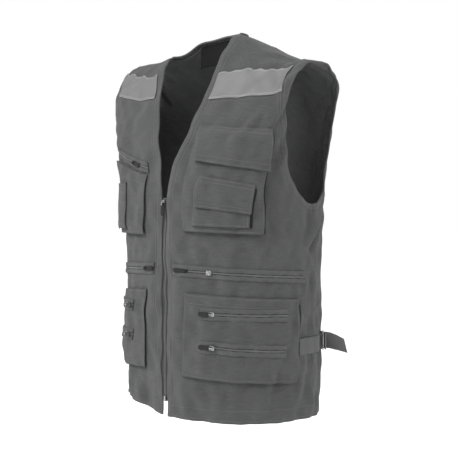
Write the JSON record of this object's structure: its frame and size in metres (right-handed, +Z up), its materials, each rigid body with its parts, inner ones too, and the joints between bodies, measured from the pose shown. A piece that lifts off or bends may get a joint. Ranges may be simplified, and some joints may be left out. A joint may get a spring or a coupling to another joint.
{
  "type": "utility work vest",
  "caption": "Sleeveless zip-front work vest in its worn form, hollow, with flap and zipped pockets, bound edges, light shoulder tapes and side adjusters.",
  "frame": {"origin": "midway between the two neck points of the shoulders, at about the height of the back neck edge, where the wearer's shoulders hold the vest", "axes": "+Z up, -Y to the wearer's front, +X to the wearer's left"},
  "size_m": [0.4655, 0.3434, 0.7123],
  "materials": {
    "cloth": "matt grey twill",
    "band": "grey binding tape",
    "reflective": "silver-grey reflective tape, satin",
    "label": "black woven label, bare",
    "teeth": "dark grey zip tape and teeth",
    "silver": "bare metal, worn bright",
    "pull": "black enamel"
  },
  "bodies": {
    "vest": {"front_left": "cloth", "front_right": "cloth", "front_band_left": "band", "front_band_right": "band", "neck_band": "band", "back": "cloth", "armhole_band_left": "band", "armhole_band_right": "band", "zip_tape_left": "band", "zip_tape_right": "band", "zip_chain": "teeth", "zip_stop": "silver", "chest_pocket_left": "cloth", "small_pocket_left": "cloth", "lower_pocket_left": "cloth", "chest_pocket_right": "cloth", "pen_pocket_right": "cloth", "lower_pocket_right": "cloth", "chest_flap_left": "cloth", "small_flap_left": "cloth", "waist_zip_left": "teeth", "waist_zip_right": "teeth", "upper_zip_left": "teeth", "lower_zip_left": "teeth", "upper_zip_right": "teeth", "lower_zip_right": "teeth", "chest_zip_right": "teeth", "waist_slider_left": "silver", "second_slider_left": "silver", "waist_slider_right": "silver", "upper_slider_left": "silver", "lower_slider_left": "silver", "upper_slider_right": "silver", "lower_slider_right": "silver", "chest_slider_right": "silver", "zip_slider": "silver", "side_slider_right": "silver", "reflective_left": "reflective", "reflective_right": "reflective", "neck_label": "label", "side_strap_left": "cloth", "side_tail_left": "cloth", "side_buckle_left": "silver", "side_strap_right": "cloth", "side_tail_right": "cloth", "side_buckle_right": "silver"},
    "waist_pull_left": {"waist_pull_left": "pull"},
    "waist_pull_right": {"waist_pull_right": "pull"},
    "upper_pull_left": {"upper_pull_left": "pull"},
    "lower_pull_left": {"lower_pull_left": "pull"},
    "upper_pull_right": {"upper_pull_right": "pull"},
    "lower_pull_right": {"lower_pull_right": "pull"},
    "chest_pull_right": {"chest_pull_right": "pull"},
    "zip_pull": {"zip_pull": "pull"},
    "side_pull_right": {"side_pull_right": "pull"}
  },
  "joints": [
    {"name": "waist_pull_left_swing", "type": "hinge", "parent": "vest", "child": "waist_pull_left", "pos_m": [0.0538, -0.16816, -0.42354], "axis": [0.0501, 0.0068, 0.9987], "range_deg": [0, 150]},
    {"name": "waist_pull_right_swing", "type": "hinge", "parent": "vest", "child": "waist_pull_right", "pos_m": [-0.04583, -0.16947, -0.42221], "axis": [0.031, -0.0032, -0.9995], "range_deg": [0, 150]},
    {"name": "upper_pull_left_swing", "type": "hinge", "parent": "vest", "child": "upper_pull_left", "pos_m": [0.10808, -0.15859, -0.49865], "axis": [0.029, 0.0113, 0.9995], "range_deg": [0, 150]},
    {"name": "lower_pull_left_swing", "type": "hinge", "parent": "vest", "child": "lower_pull_left", "pos_m": [0.11036, -0.1605, -0.55767], "axis": [0.0678, 0.0195, 0.9975], "range_deg": [0, 150]},
    {"name": "upper_pull_right_swing", "type": "hinge", "parent": "vest", "child": "upper_pull_right", "pos_m": [-0.10761, -0.15755, -0.49396], "axis": [0.0017, 0.0011, -1], "range_deg": [0, 150]},
    {"name": "lower_pull_right_swing", "type": "hinge", "parent": "vest", "child": "lower_pull_right", "pos_m": [-0.10958, -0.15876, -0.54975], "axis": [0.0216, 0.0026, -0.9998], "range_deg": [0, 150]},
    {"name": "chest_pull_right_swing", "type": "hinge", "parent": "vest", "child": "chest_pull_right", "pos_m": [-0.09054, -0.15701, -0.22486], "axis": [-0.2971, -0.1054, -0.949], "range_deg": [0, 150]},
    {"name": "zip_pull_swing", "type": "hinge", "parent": "vest", "child": "zip_pull", "pos_m": [0, -0.1691, -0.302], "axis": [-1, 0, 0], "range_deg": [0, 150]},
    {"name": "side_pull_right_swing", "type": "hinge", "parent": "vest", "child": "side_pull_right", "pos_m": [-0.16178, -0.11171, -0.3301], "axis": [-0.6364, 0.7713, -0.0065], "range_deg": [-20, 110]}
  ]
}
